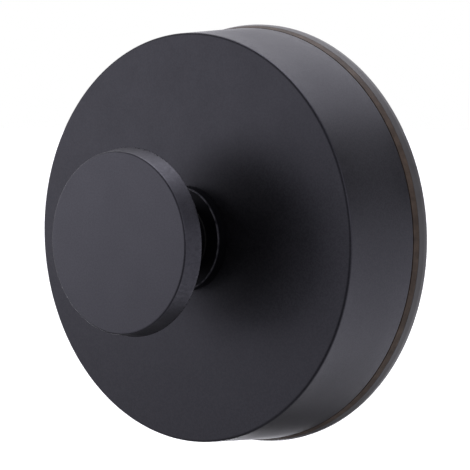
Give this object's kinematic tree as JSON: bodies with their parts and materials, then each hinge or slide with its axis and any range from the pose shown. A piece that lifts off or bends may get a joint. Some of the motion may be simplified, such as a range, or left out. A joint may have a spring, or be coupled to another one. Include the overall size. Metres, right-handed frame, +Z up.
{
  "type": "suction wall hook",
  "caption": "Round matte-black wall hook: bell cover over a soft suction cup, with a mushroom knob on a collar that turns to draw the cup tight.",
  "frame": {"origin": "middle of the suction cup's flat lip, in the plane of the wall", "axes": "+Y into the wall along the hook's axis, front towards -Y, +Z up"},
  "size_m": [0.0676, 0.033, 0.0676],
  "materials": {
    "cover_coat": "matte powder coat",
    "knob_coat": "matte, fine turned texture on the side",
    "collar_coat": "matte",
    "cup_rubber": "smoky translucent, satin",
    "seal_rubber": "dark brown, satin",
    "plate_plastic": "moulded, matte",
    "bearing_plastic": "acetal, smooth",
    "steel": "turned and plated",
    "black_steel": "black oxide",
    "brass": "turned"
  },
  "bodies": {
    "base": {"suction_cup": "cup_rubber", "seal_ring": "seal_rubber", "pressure_plate": "plate_plastic", "guide_bush": "steel", "plate_screws": "steel", "cover_shell": "cover_coat", "collar_flange": "collar_coat", "collar_nut": "brass", "collar_washer": "steel", "neck_bush": "bearing_plastic", "thrust_washer": "bearing_plastic"},
    "stud": {"threaded_stud": "steel", "anchor_plate": "steel", "stop_ring": "steel"},
    "knob": {"knob_disc": "knob_coat", "knob_neck": "knob_coat", "drive_nut": "brass", "grub_screw": "black_steel", "retaining_clip": "steel", "clip_washer": "bearing_plastic"}
  },
  "joints": [
    {"name": "stud_draw", "type": "slide", "parent": "base", "child": "stud", "axis": [0, -1, 0], "range_m": [0, 0.0025], "deforming": ["suction_cup"]},
    {"name": "knob_turn", "type": "hinge", "parent": "base", "child": "knob", "pos_m": [0, 0, 0], "axis": [0, 1, 0], "range_deg": [0, 900]}
  ],
  "couplings": [
    {"joint": "knob_turn", "follows": "stud_draw", "rad_per_m": 6283.2}
  ]
}
